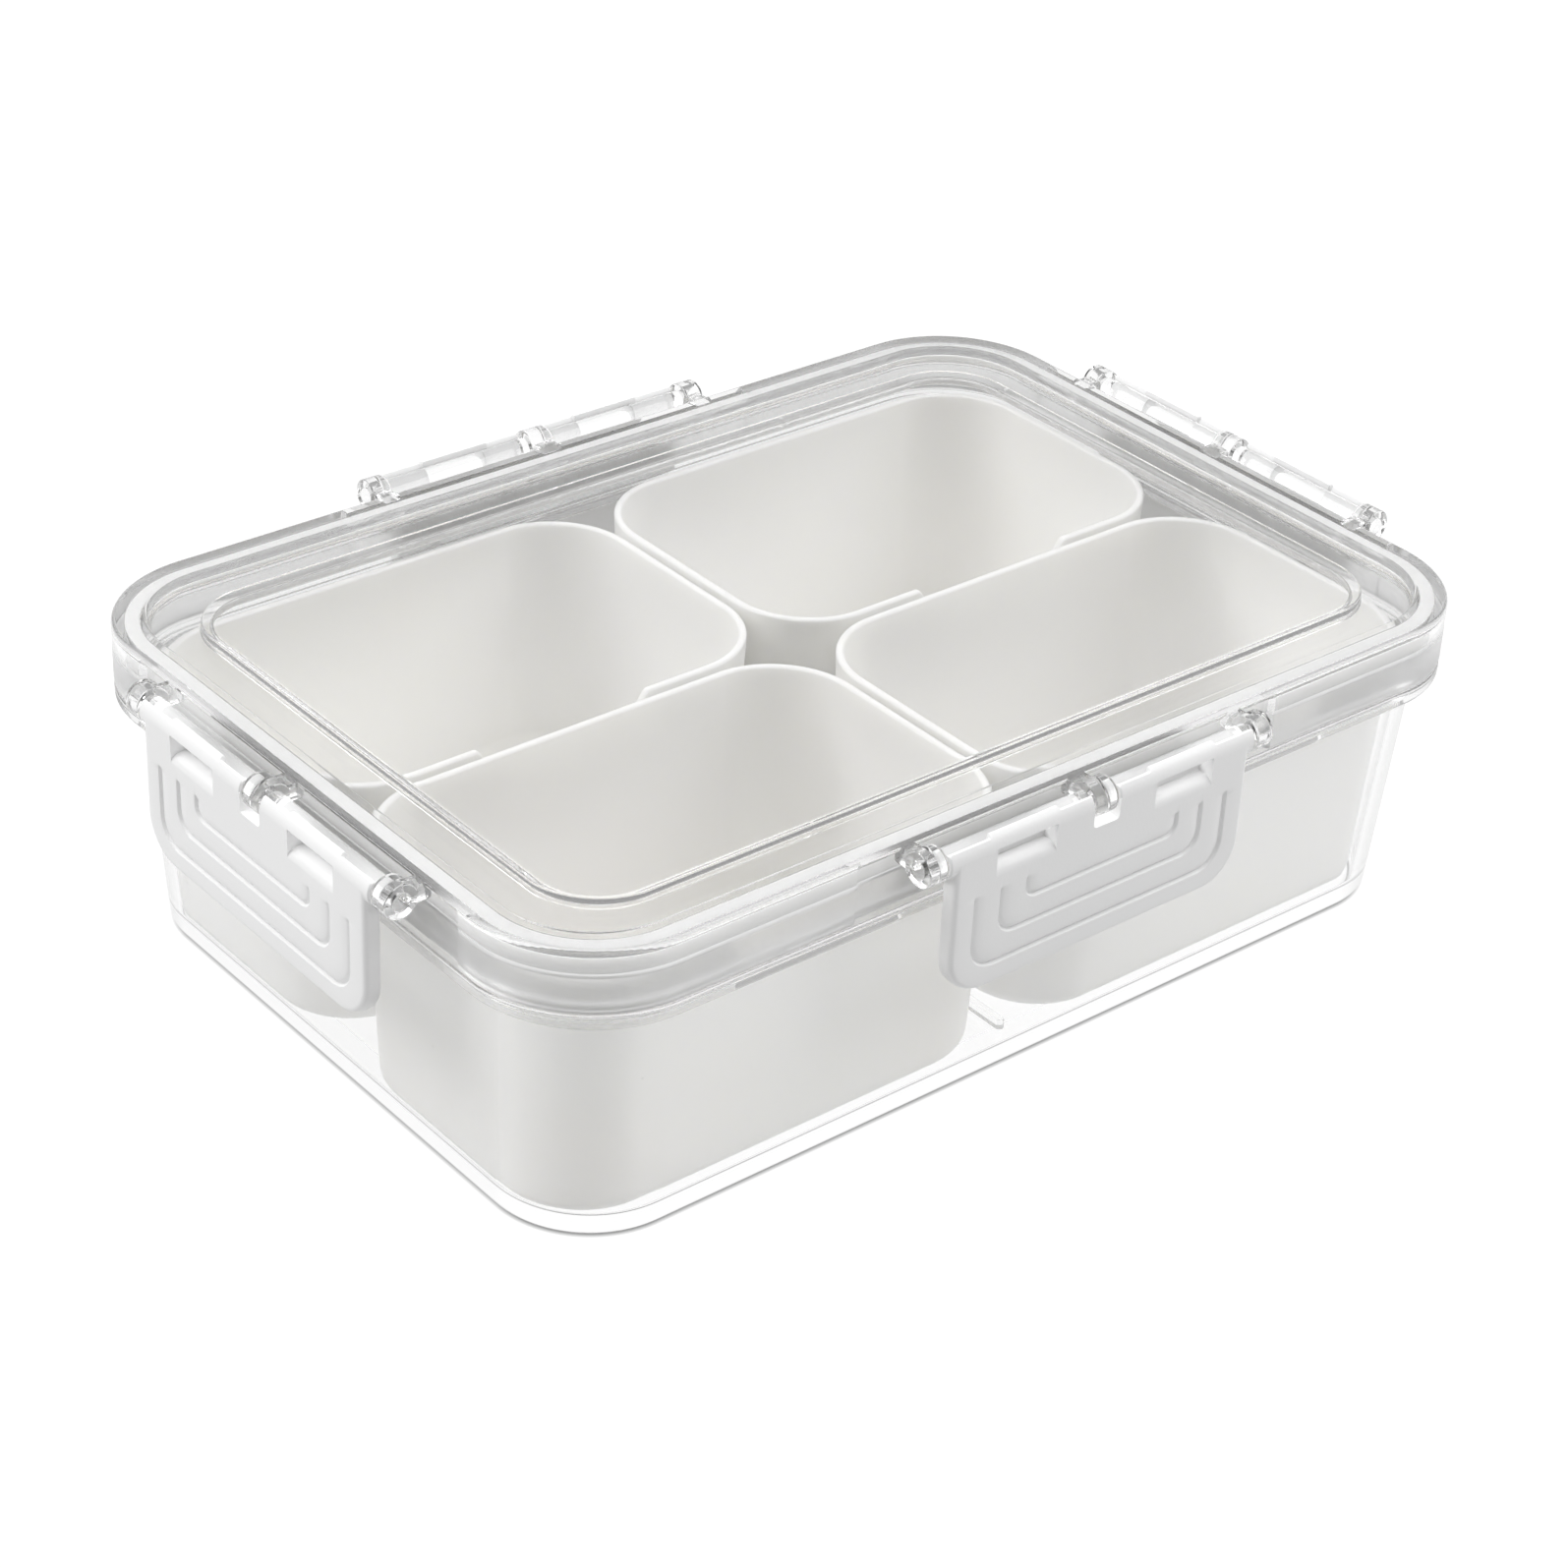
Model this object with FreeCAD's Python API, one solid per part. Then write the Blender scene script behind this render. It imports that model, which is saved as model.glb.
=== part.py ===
"""Clear four-latch spice box: a tub with a flanged rim, a gasketed lid with a latch on each side, four lift-out cups.

The frame: origin at the middle of the base, +X along the long side, the front looking along -Y, +Z up.
All lengths are in millimetres and all angles in degrees.
"""
import FreeCAD, Part
import math
import os

Vector = FreeCAD.Vector

# Outline that the lid's skirt and the tub's flange share.
body_length = 189.0
body_depth = 132.0
body_corner_radius = 21.0

# Tub.
flange_overhang = 3.6
flange_thickness = 2.4
flange_underside = 41.2
flange_edge_radius = 0.7
wall_lean = 2.45
wall_thickness = 2.0
floor_thickness = 2.2
base_corner_radius = 17.0
floor_edge_radius = 3.0
base_edge_radius = 1.0
foot_ring_width = 7.5
foot_ring_height = 0.8
rim_thickness = 2.0
rim_height = 5.8
rim_edge_radius = 0.6
rib_width = 1.5
rib_length = 8.0
rib_height = 1.8
rib_wall_gap = 3.9

# Lid.
lid_seat_gap = 0.4
lid_height = 10.4
skirt_thickness = 2.0
rim_side_clearance = 0.4
channel_width = 2.6
band_width = 5.7
band_roof = 1.8
plate_thickness = 1.6
valley_drop = 2.2
panel_inset = 12.5
panel_rise = 1.7
panel_corner_radius = 12.0
lid_edge_radius = 1.0
band_inner_radius = 0.8
valley_radius = 0.6
panel_edge_radius = 0.5
recess_length = 84.0
recess_depth = 1.0

# Gasket ring in the lid's channel.
gasket_side_clearance = 0.1
gasket_rim_gap = 0.1
gasket_lip_radius = 0.9

# Hinge of each latch: a bar between lugs, moulded with the lid.
hinge_offset = 4.1
hinge_drop = 1.7
bar_radius = 1.7
lug_radius = 2.9
middle_lug_width = 4.6
end_lug_width = 3.7
lug_gap = 0.3
lug_core_radius = 1.45
lug_core_depth = 2.4
web_height = 3.0

# Latch.
barrel_radius = 2.9
barrel_length = 61.4
bore_clearance = 0.05
clip_front_angle = 48.0
clip_middle_angle = 64.0
clip_back_angle = 202.0
clip_middle_margin = 0.8
flap_width = 59.2
flap_reach = 23.5
flap_thickness = 2.8
flap_corner_radius = 7.0
flap_edge_radius = 0.9
notch_drop = 0.4
slot_start = 10.0
slot_length = 11.8
slot_rise = 0.3
slot_height = 3.4
slot_lip_radius = 1.5
groove_width = 0.9
groove_depth = 0.5
groove_count = 3
groove_side_inset = 4.1
groove_side_pitch = 5.1
groove_bottom_rise = 3.7
groove_bottom_pitch = 4.55
groove_corner_radius = 4.5
groove_corner_step = 1.2
groove_top_drop = 7.1
hook_length = 44.0
hook_tip_height = 1.1
hook_root_height = 4.6
hook_flange_gap = 0.4
hook_tip_clearance = 0.3

# Cups.
cup_gap = 1.4
cup_end_clearance = 0.8
cup_side_clearance = 2.2
cup_seat_gap = 0.1
cup_rim_rise = 1.8
cup_lean = 1.8
cup_wall = 1.3
cup_floor = 1.4
cup_corner_radius = 15.0
cup_base_radius = 5.0
cup_rim_radius = 0.5
cup_notch_width = 30.0
cup_notch_depth = 3.6
cup_notch_radius = 2.4

# One overrun serves all cuts, one tolerance finds edges.
overrun = 1.0
tolerance = 0.001
quarter_turn = 90.0

# Heights that several pieces share.
flange_top = flange_underside + flange_thickness
rim_top = flange_top + rim_height
skirt_bottom = flange_top + lid_seat_gap
lid_top = skirt_bottom + lid_height
band_underside = lid_top - band_roof
valley_top = lid_top - valley_drop
valley_underside = valley_top - plate_thickness
panel_top = valley_top + panel_rise
panel_underside = panel_top - plate_thickness
hinge_height = lid_top - hinge_drop

# Insets from the shared outline.
rim_inset = skirt_thickness + rim_side_clearance
channel_inner_inset = skirt_thickness + channel_width
mouth_inset = flange_overhang + wall_thickness
lug_inner_face = barrel_length / 2 + lug_gap
lug_outer_face = lug_inner_face + end_lug_width


def rounded_wire(length, depth, radius, height):
    """A closed rounded rectangle, centred on the Z axis, at one height."""
    across = length / 2 - radius
    along = depth / 2 - radius
    centres = ((across, along), (-across, along), (-across, -along), (across, -along))
    arcs = []
    for k, (x, y) in enumerate(centres):
        start = k * quarter_turn
        arcs.append(Part.makeCircle(radius, Vector(x, y, height), Vector(0, 0, 1), start, start + quarter_turn))
    edges = []
    for k, arc in enumerate(arcs):
        following = arcs[(k + 1) % len(arcs)]
        edges.append(arc)
        edges.append(Part.makeLine(arc.valueAt(arc.LastParameter), following.valueAt(following.FirstParameter)))
    return Part.Wire(edges)


def block(length, depth, radius, bottom, top):
    """An upright block with a rounded rectangular outline."""
    face = Part.Face(rounded_wire(length, depth, radius, bottom))
    return face.extrude(Vector(0, 0, top - bottom))


def inset_block(inset, bottom, top):
    """A block inside the shared outline, the same distance in from it all round."""
    return block(body_length - 2 * inset, body_depth - 2 * inset, body_corner_radius - inset, bottom, top)


def drafted(lower, upper):
    """A block with leaning walls between two (length, depth, radius, height) outlines."""
    return Part.makeLoft([rounded_wire(*lower), rounded_wire(*upper)], True, True)


def edges_at(shape, height):
    """The edges that lie wholly at one height."""
    level = []
    for edge in shape.Edges:
        box = edge.BoundBox
        if abs(box.ZMin - height) < tolerance and abs(box.ZMax - height) < tolerance:
            level.append(edge)
    return level


def edges_inside(edges, half_length, half_depth):
    """The edges whose middles lie inside a rectangle about the Z axis."""
    return [e for e in edges if abs(e.CenterOfMass.x) < half_length and abs(e.CenterOfMass.y) < half_depth]


def box_between(low, high):
    """An axis-aligned box between two corners."""
    size = high - low
    return Part.makeBox(size.x, size.y, size.z, low)


def rod(radius, start, end):
    """A cylinder along X between two X places."""
    return Part.makeCylinder(radius, end - start, Vector(start, 0, 0), Vector(1, 0, 0))


def on_side(shape, side):
    """Moves a shape made about the hinge axis of the front latch to one side of the box."""
    angle, reach = sides[side]
    placed = shape.copy()
    placed.translate(Vector(0, -reach, hinge_height))
    placed.rotate(Vector(0, 0, 0), Vector(0, 0, 1), angle)
    return placed


# Each side's turn about Z from the front, and the distance of its hinge axis from the middle.
long_side_reach = body_depth / 2 + hinge_offset
short_side_reach = body_length / 2 + hinge_offset
sides = {
    "front": (0, long_side_reach),
    "right": (quarter_turn, short_side_reach),
    "back": (2 * quarter_turn, long_side_reach),
    "left": (-quarter_turn, short_side_reach),
}


def wall_outline(inset, height):
    """The tub wall's outline at a height, the given distance in from its outer face."""
    lean = wall_lean * (flange_top - height) / flange_top
    radius_share = height / flange_top
    mouth_radius = body_corner_radius - flange_overhang
    radius = base_corner_radius + (mouth_radius - base_corner_radius) * radius_share
    take = 2 * (flange_overhang + lean + inset)
    return (body_length - take, body_depth - take, radius - inset, height)


def make_tub():
    """Leaning walls on a foot ring, a flange round the top and an upright rim above it."""
    shell = drafted(wall_outline(0, 0), wall_outline(0, flange_top))
    shell = shell.makeFillet(base_edge_radius, edges_at(shell, 0))
    flange = inset_block(0, flange_underside, flange_top)
    rims = edges_at(flange, flange_underside) + edges_at(flange, flange_top)
    flange = flange.makeFillet(flange_edge_radius, rims)
    rim = inset_block(rim_inset, flange_underside, rim_top)
    shell = shell.fuse([flange, rim])

    cavity = drafted(wall_outline(wall_thickness, floor_thickness), wall_outline(wall_thickness, flange_top))
    cavity = cavity.makeFillet(floor_edge_radius, edges_at(cavity, floor_thickness))
    mouth = inset_block(rim_inset + rim_thickness, flange_top, rim_top + overrun)
    length, depth, radius, _ = wall_outline(foot_ring_width, 0)
    foot = block(length, depth, radius, -overrun, foot_ring_height)
    shell = shell.cut(cavity).cut(mouth).cut(foot).removeSplitter()
    shell = shell.makeFillet(rim_edge_radius, edges_at(shell, rim_top))
    return shell.fuse(make_ribs()).removeSplitter()


def make_ribs():
    """Two low ribs on the floor that keep the cups apart at the front and the back."""
    _, depth, _, _ = wall_outline(wall_thickness, floor_thickness)
    outer = depth / 2 - rib_wall_gap - rib_width / 2
    inner = outer - rib_length
    root = floor_thickness / 2 + foot_ring_height / 2
    top = floor_thickness + rib_height
    low = Vector(-rib_width / 2, inner, root)
    high = Vector(rib_width / 2, outer, top)
    rib = box_between(low, high)
    for y in (inner, outer):
        rib = rib.fuse(Part.makeCylinder(rib_width / 2, top - root, Vector(0, y, root)))
    other = rib.copy()
    other.rotate(Vector(0, 0, 0), Vector(0, 0, 1), 2 * quarter_turn)
    return [rib.removeSplitter(), other.removeSplitter()]


def lid_outline():
    """The shared outline with a shallow recess in the middle of each side, from the skirt to the lid's top."""
    outer = soft_topped(inset_block(0, skirt_bottom, lid_top))
    inner = soft_topped(inset_block(recess_depth, skirt_bottom, lid_top))
    half = recess_length / 2
    for angle, reach in sides.values():
        face = reach - hinge_offset
        low = Vector(-half, -face - overrun, skirt_bottom - overrun)
        high = Vector(half, -face + skirt_thickness, lid_top + overrun)
        cut = box_between(low, high)
        cut.rotate(Vector(0, 0, 0), Vector(0, 0, 1), angle)
        outer = outer.cut(cut)
    return outer.fuse(inner).removeSplitter()


def soft_topped(shape):
    """The shape with the edges of the lid's top rounded."""
    return shape.makeFillet(lid_edge_radius, edges_at(shape, lid_top))


def make_lid():
    """A skirted lid: a flat band over the gasket, a lower valley inside it and a raised panel in the middle."""
    shell = lid_outline()
    valley = inset_block(band_width, valley_top, lid_top + overrun)
    shell = shell.cut(valley)
    reach_x = body_length / 2 - channel_inner_inset
    reach_y = body_depth / 2 - channel_inner_inset
    inner_rim = [e for e in edges_at(shell, lid_top) if on_inset(e, band_width)]
    shell = shell.makeFillet(band_inner_radius, inner_rim)
    shell = shell.makeFillet(valley_radius, edges_inside(edges_at(shell, valley_top), reach_x, reach_y))

    panel_length = body_length - 2 * panel_inset
    panel_depth = body_depth - 2 * panel_inset
    panel = block(panel_length, panel_depth, panel_corner_radius, valley_underside, panel_top)
    panel = panel.makeFillet(panel_edge_radius, edges_at(panel, panel_top))
    shell = shell.fuse(panel)

    channel = inset_block(skirt_thickness, skirt_bottom - overrun, band_underside)
    channel = channel.cut(inset_block(channel_inner_inset, valley_underside, band_underside + overrun))
    hollow_length = panel_length - 2 * plate_thickness
    hollow_depth = panel_depth - 2 * plate_thickness
    hollow_radius = panel_corner_radius - plate_thickness
    hollow = block(hollow_length, hollow_depth, hollow_radius, skirt_bottom, panel_underside)
    shell = shell.cut(channel).cut(hollow).removeSplitter()
    hinges = [on_side(make_hinge(), side) for side in sides]
    return shell.fuse(hinges).removeSplitter()


def on_inset(edge, inset):
    """Whether an edge lies on the outline that is the given distance in from the shared one."""
    middle = edge.valueAt((edge.FirstParameter + edge.LastParameter) / 2)
    across = body_length / 2 - body_corner_radius
    along = body_depth / 2 - body_corner_radius
    dx = max(abs(middle.x) - across, 0)
    dy = max(abs(middle.y) - along, 0)
    return abs(body_corner_radius - math.hypot(dx, dy) - inset) < tolerance


def make_hinge():
    """The hinge bar of one latch with its three lugs and their webs to the skirt, about the hinge axis."""
    wall = hinge_offset + recess_depth + skirt_thickness / 4
    solids = [rod(bar_radius, -lug_outer_face, lug_outer_face)]
    half_middle = middle_lug_width / 2
    spans = ((-lug_outer_face, -lug_inner_face), (-half_middle, half_middle), (lug_inner_face, lug_outer_face))
    for start, end in spans:
        solids.append(rod(lug_radius, start, end))
        solids.append(box_between(Vector(start, 0, -web_height / 2), Vector(end, wall, web_height / 2)))
    hinge = solids[0].fuse(solids[1:])
    core_end = lug_outer_face - lug_core_depth
    for start, end in ((-lug_outer_face - overrun, -core_end), (core_end, lug_outer_face + overrun)):
        hinge = hinge.cut(rod(lug_core_radius, start, end))
    return hinge.removeSplitter()


def make_gasket():
    """A soft ring that fills the lid's channel and ends just above the tub's rim."""
    bottom = rim_top + gasket_rim_gap
    ring = inset_block(skirt_thickness + gasket_side_clearance, bottom, band_underside)
    ring = ring.cut(inset_block(channel_inner_inset - gasket_side_clearance, bottom - overrun, lid_top))
    return ring.makeFillet(gasket_lip_radius, edges_at(ring, bottom))


def wedge(first, last, start, end):
    """A prism along X that holds every direction between two angles; 0 points outward and 90 up."""
    far = 2 * barrel_radius
    steps = math.ceil((last - first) / quarter_turn) * 2
    points = [Vector(start, 0, 0)]
    for k in range(steps + 1):
        angle = math.radians(first + (last - first) * k / steps)
        points.append(Vector(start, -far * math.cos(angle), far * math.sin(angle)))
    points.append(points[0])
    return Part.Face(Part.makePolygon(points)).extrude(Vector(end - start, 0, 0))


def u_edges(half_width, top, bottom, radius, y):
    """The edges of a U from its left top end round to its right top end."""
    x = half_width - radius
    z = bottom + radius
    left = Part.makeCircle(radius, Vector(-x, y, z), Vector(0, -1, 0), 2 * quarter_turn, 3 * quarter_turn)
    right = Part.makeCircle(radius, Vector(x, y, z), Vector(0, -1, 0), 3 * quarter_turn, 4 * quarter_turn)
    return [
        Part.makeLine(Vector(-half_width, y, top), Vector(-half_width, y, z)),
        left,
        Part.makeLine(Vector(-x, y, bottom), Vector(x, y, bottom)),
        right,
        Part.makeLine(Vector(half_width, y, z), Vector(half_width, y, top)),
    ]


def u_face(half_width, top, bottom, radius, y):
    """The face inside a U that is closed along its top."""
    edges = u_edges(half_width, top, bottom, radius, y)
    edges.append(Part.makeLine(Vector(half_width, y, top), Vector(-half_width, y, top)))
    return Part.Face(Part.Wire(edges))


def make_flap():
    """The latch's plate: round lower corners and a softened outer edge."""
    outer = -barrel_radius
    face = u_face(flap_width / 2, 0, -flap_reach, flap_corner_radius, outer)
    plate = face.extrude(Vector(0, flap_thickness, 0))
    soft = []
    for edge in plate.Edges:
        box = edge.BoundBox
        if abs(box.YMax - outer) < tolerance and box.ZMin < -tolerance:
            soft.append(edge)
    return plate.makeFillet(flap_edge_radius, soft)


def make_grooves():
    """Nested U-shaped grooves in the flap's outer face, as solids to cut away."""
    grooves = []
    outer = -barrel_radius
    for k in range(groove_count):
        half = flap_width / 2 - groove_side_inset - k * groove_side_pitch
        bottom = -flap_reach + groove_bottom_rise + k * groove_bottom_pitch
        radius = groove_corner_radius - k * groove_corner_step
        edge = groove_width / 2
        wide = u_face(half + edge, -groove_top_drop, bottom - edge, radius + edge, outer)
        narrow = u_face(half - edge, -groove_top_drop, bottom + edge, radius - edge, outer)
        grooves.append(wide.cut(narrow).extrude(Vector(0, groove_depth, 0)))
    return grooves


def make_hook():
    """The catch on the flap's inner face; its tip ends just outside the flange's edge and just below it."""
    top = flange_underside - hook_flange_gap - hinge_height
    tip = hinge_offset - hook_tip_clearance
    root = flap_thickness / 2 - barrel_radius
    half = hook_length / 2
    points = [
        Vector(-half, root, top),
        Vector(-half, tip, top),
        Vector(-half, tip, top - hook_tip_height),
        Vector(-half, root, top - hook_root_height),
    ]
    points.append(points[0])
    return Part.Face(Part.makePolygon(points)).extrude(Vector(hook_length, 0, 0))


def make_slot(start):
    """A slot in the barrel's front and the flap below it, with a round lower lip, as a solid to cut away."""
    outer = -barrel_radius
    inner = outer + flap_thickness
    before = outer - overrun
    bottom = slot_rise - slot_height
    lip_y = outer + slot_lip_radius
    lip_z = bottom - slot_lip_radius
    slant = slot_lip_radius * math.sin(math.radians(quarter_turn / 2))
    middle = Vector(start, lip_y - slant, lip_z + slant)
    lip = Part.Arc(Vector(start, lip_y, bottom), middle, Vector(start, outer, lip_z))
    corners = [
        Vector(start, outer, lip_z),
        Vector(start, before, lip_z),
        Vector(start, before, slot_rise),
        Vector(start, inner, slot_rise),
        Vector(start, inner, bottom),
        Vector(start, lip_y, bottom),
    ]
    edges = [lip.toShape()]
    for a, b in zip(corners, corners[1:]):
        edges.append(Part.makeLine(a, b))
    return Part.Face(Part.Wire(edges)).extrude(Vector(slot_length, 0, 0))


def make_latch():
    """One latch about its hinge axis: an open barrel in two halves that clips on the bar, and a flap below it."""
    half = barrel_length / 2
    latch = rod(barrel_radius, -half, half).fuse([make_flap(), make_hook()])
    latch = latch.cut(rod(bar_radius + bore_clearance, -half - overrun, half + overrun))
    latch = latch.cut(wedge(clip_middle_angle, clip_back_angle, -half - overrun, half + overrun))

    slot_end = slot_start + slot_length
    near = slot_start - clip_middle_margin
    far = slot_end + clip_middle_margin
    for start, end in ((-half - overrun, -far), (-near, near), (far, half + overrun)):
        latch = latch.cut(wedge(clip_front_angle, clip_back_angle, start, end))
    latch = latch.cut([make_slot(-slot_end), make_slot(slot_start)])

    notch = middle_lug_width / 2 + lug_gap
    low = Vector(-notch, -barrel_radius - overrun, -lug_radius - notch_drop)
    high = Vector(notch, barrel_radius + overrun, barrel_radius + overrun)
    latch = latch.cut(box_between(low, high))
    return latch.cut(make_grooves()).removeSplitter()


def make_cup():
    """One cup about the middle of its outline: leaning walls, round base and a finger notch in its front."""
    bottom = floor_thickness + cup_seat_gap
    top = flange_top + cup_rim_rise
    height = top - bottom
    lean_share = cup_floor / height
    lower = (cup_length - 2 * cup_lean, cup_depth - 2 * cup_lean, cup_corner_radius - cup_lean, bottom)
    upper = (cup_length, cup_depth, cup_corner_radius, top)
    cup = drafted(lower, upper)
    cup = cup.makeFillet(cup_base_radius, edges_at(cup, bottom))
    take = cup_wall + cup_lean * (1 - lean_share)
    inner_lower = (cup_length - 2 * take, cup_depth - 2 * take, cup_corner_radius - take, bottom + cup_floor)
    inner_upper = (cup_length - 2 * cup_wall, cup_depth - 2 * cup_wall, cup_corner_radius - cup_wall, top)
    hollow = drafted(inner_lower, inner_upper)
    hollow = hollow.makeFillet(cup_base_radius - cup_wall, edges_at(hollow, bottom + cup_floor))
    cup = cup.cut(hollow)
    cup = cup.makeFillet(cup_rim_radius, edges_at(cup, top))
    notch_face = u_face(cup_notch_width / 2, top + overrun, top - cup_notch_depth, cup_notch_radius, 0)
    notch = notch_face.extrude(Vector(0, -cup_depth, 0))
    return cup.cut(notch).removeSplitter()


# The cups share the tub's mouth: two along and two across, with a gap between them.
mouth_length = body_length - 2 * mouth_inset
mouth_depth = body_depth - 2 * mouth_inset
cup_length = (mouth_length - cup_gap) / 2 - cup_end_clearance
cup_depth = (mouth_depth - cup_gap) / 2 - cup_side_clearance
cup_x = (cup_length + cup_gap) / 2
cup_y = (cup_depth + cup_gap) / 2

nodes = {"tub": make_tub(), "lid": make_lid(), "gasket": make_gasket()}
for side in sides:
    nodes["latch_" + side] = on_side(make_latch(), side)
for row, row_sign in (("front", -1), ("back", 1)):
    for column, column_sign in (("left", -1), ("right", 1)):
        cup = make_cup()
        cup.translate(Vector(column_sign * cup_x, row_sign * cup_y, 0))
        nodes["cup_" + row + "_" + column] = cup

os.makedirs("parts", exist_ok=True)
for name, shape in nodes.items():
    solids = len(shape.Solids)
    print(name, "valid" if shape.isValid() else "INVALID", solids, "solids", round(shape.Volume), "mm3")
    shape.exportStep("parts/" + name + ".step")
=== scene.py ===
"""The looks of a clear spice box: its shells, latches, cups and finishes, with the stage and the camera.

Sizes are in millimetres and angles in degrees; meshes are scaled to metres as they are made.
The stage, the lights and the camera are placed in metres.
The front looks along -Y, the long side runs along X and Z is up.
"""

import math

import bmesh
import bpy
from mathutils import Matrix, Vector


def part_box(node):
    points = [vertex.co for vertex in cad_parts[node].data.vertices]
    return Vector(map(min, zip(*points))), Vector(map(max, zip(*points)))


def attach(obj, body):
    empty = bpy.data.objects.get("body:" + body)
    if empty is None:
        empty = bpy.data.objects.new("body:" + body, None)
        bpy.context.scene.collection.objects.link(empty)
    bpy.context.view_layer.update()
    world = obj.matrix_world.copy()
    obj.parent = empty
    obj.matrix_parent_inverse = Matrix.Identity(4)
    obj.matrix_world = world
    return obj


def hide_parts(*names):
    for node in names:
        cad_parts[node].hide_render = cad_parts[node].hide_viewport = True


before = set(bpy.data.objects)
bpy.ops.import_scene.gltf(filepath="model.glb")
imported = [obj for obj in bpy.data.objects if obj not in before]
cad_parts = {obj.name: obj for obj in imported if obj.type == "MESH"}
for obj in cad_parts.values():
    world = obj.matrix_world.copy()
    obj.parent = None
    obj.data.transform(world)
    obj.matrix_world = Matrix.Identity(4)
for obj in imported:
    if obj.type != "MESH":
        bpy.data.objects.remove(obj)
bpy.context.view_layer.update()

MM = 0.001


def box_mm(node):
    """Lowest and highest corner of a node, in millimetres."""
    low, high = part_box(node)
    return low / MM, high / MM


# The tub's flange and the lid's skirt share one outline, and the frame gives the heights.
tub_low, tub_high = box_mm("tub")
gasket_low, gasket_high = box_mm("gasket")
latch_low, _ = box_mm("latch_front")
body_length = tub_high.x - tub_low.x
body_depth = tub_high.y - tub_low.y
rim_top = tub_high.z
body_corner = 21.0

# Tub. A support is how far a flat face reaches past a rounded edge before it is closed.
rim_height = 5.8
rim_outer_inset = 2.4
rim_inner_inset = 4.4
rim_edge_radius = 0.6
rim_root_radius = 0.3
flange_overhang = 3.6
flange_thickness = 2.4
flange_edge_radius = 0.7
flange_top = rim_top - rim_height
flange_underside = flange_top - flange_thickness
wall_lean = 2.45
wall_thickness = 2.0
neck_radius = 0.4
ledge_radius = 0.4
floor_top = 2.2
floor_radius = 2.0
floor_support = 6.0
base_spread = 2.05
base_radius = 1.5
foot_ring_width = 7.5
foot_ring_height = 0.8
foot_ring_radius = 0.3
rib_width = 1.5
rib_length = 8.0
rib_height = 1.8
rib_wall_gap = 3.9
rib_sink = 0.5
rib_edge = 0.4
rib_edge_middle = 0.12

# Lid.
skirt_gap = 0.4
skirt_height = 10.4
skirt_thickness = 2.0
skirt_lip_radius = 0.3
skirt_bottom = flange_top + skirt_gap
lid_top = skirt_bottom + skirt_height
lid_edge_radius = 1.0
channel_inner_inset = 4.6
channel_radius = 0.2
band_width = 5.7
band_thickness = 1.8
band_edge_radius = 0.8
band_root_radius = 0.6
band_underside = lid_top - band_thickness
valley_drop = 2.2
valley_top = lid_top - valley_drop
plate_thickness = 1.6
underside_radius = 0.3
panel_inset = 12.5
panel_rise = 1.7
panel_top = valley_top + panel_rise
panel_spread = 3.5
panel_support = 2.0
panel_edge_radius = 0.5
panel_root_radius = 0.25
hollow_radius = 0.4
recess_length = 84.0
recess_depth = 1.0
recess_step = 0.8
recess_stops = 6
recess_top_margin = 0.5
recess_fade = 1.2
recess_touch = 0.01

# Gasket.
gasket_width = 2.4
gasket_lip_radius = 0.9
gasket_top_radius = 0.2

# Hinge of each latch, moulded with the lid.
side_turns = {"front": 0, "right": 90, "back": 180, "left": -90}
hinge_offset = 4.1
hinge_drop = 1.7
hinge_height = lid_top - hinge_drop
bar_radius = 1.7
lug_radius = 2.9
lug_edge = 0.3
middle_lug_half = 2.3
lug_inner_face = 31.0
lug_outer_face = 34.7
lug_core_radius = 1.45
lug_core_depth = 2.4
web_half_height = 1.5
web_sink = 0.5
web_root_share = 0.6
web_side_inset = 0.06
web_bevel = 0.9
web_bevel_steps = 4

# Latch, about its hinge axis.
barrel_radius = 2.9
bore_radius = 1.75
bore_margin = 0.55
barrel_end = 30.7
barrel_start = 2.6
clip_edge = 0.25
clip_ramp = 0.4
clip_ramp_steps = 4
clip_low_angle = 202.0
clip_high_angle = 408.0
clip_raised_angle = 424.0
clip_raised_from = 9.2
clip_raised_to = 22.6
cut_overrun = 2.0
lug_notch_bottom = -3.3
lug_notch_margin = 0.02
lug_notch_reach = 8.0
lug_notch_bevel = 0.6
slot_start = 10.0
slot_end = 21.8
slot_top = 0.3
slot_bottom = -3.1
slot_lip_radius = 1.5
flap_half_width = 29.6
flap_bottom = latch_low.z - hinge_height
flap_inner = 0.1
flap_edge_radius = 0.9
flap_back_radius = 0.4
flap_face_start = 2.0
flap_rise_share = 0.9
flap_middle_inset = 17.0
hook_half = 22.0
hook_gap = 0.4
hook_clearance = 0.3
hook_top = flange_underside - hook_gap - hinge_height
hook_tip = hinge_offset - hook_clearance
hook_tip_height = 1.1
hook_root_height = 4.6
hook_bevel = 0.3

# Grooves of the flap. Their corners get tighter from the flap's edge to its middle.
groove_insets = (4.1, 9.2, 14.3)
groove_depth = 0.6
groove_fade_low = -7.6
groove_fade_high = -6.5
groove_fade_steps = 5
flap_corner_radii = (7.0, 4.5, 3.3, 2.1, 0.6)
flap_corners = list(zip((0.0, *groove_insets, flap_middle_inset), flap_corner_radii))

# A groove from its steep outer side to its easy inner side, as (place, share of the depth).
groove_section = (
    (-0.30, 0.0),
    (-0.18, 0.15),
    (-0.06, 0.8),
    (0.12, 1.0),
    (0.30, 0.85),
    (0.50, 0.45),
    (0.85, 0.28),
    (1.45, 0.12),
    (2.20, 0.0),
)

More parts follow.
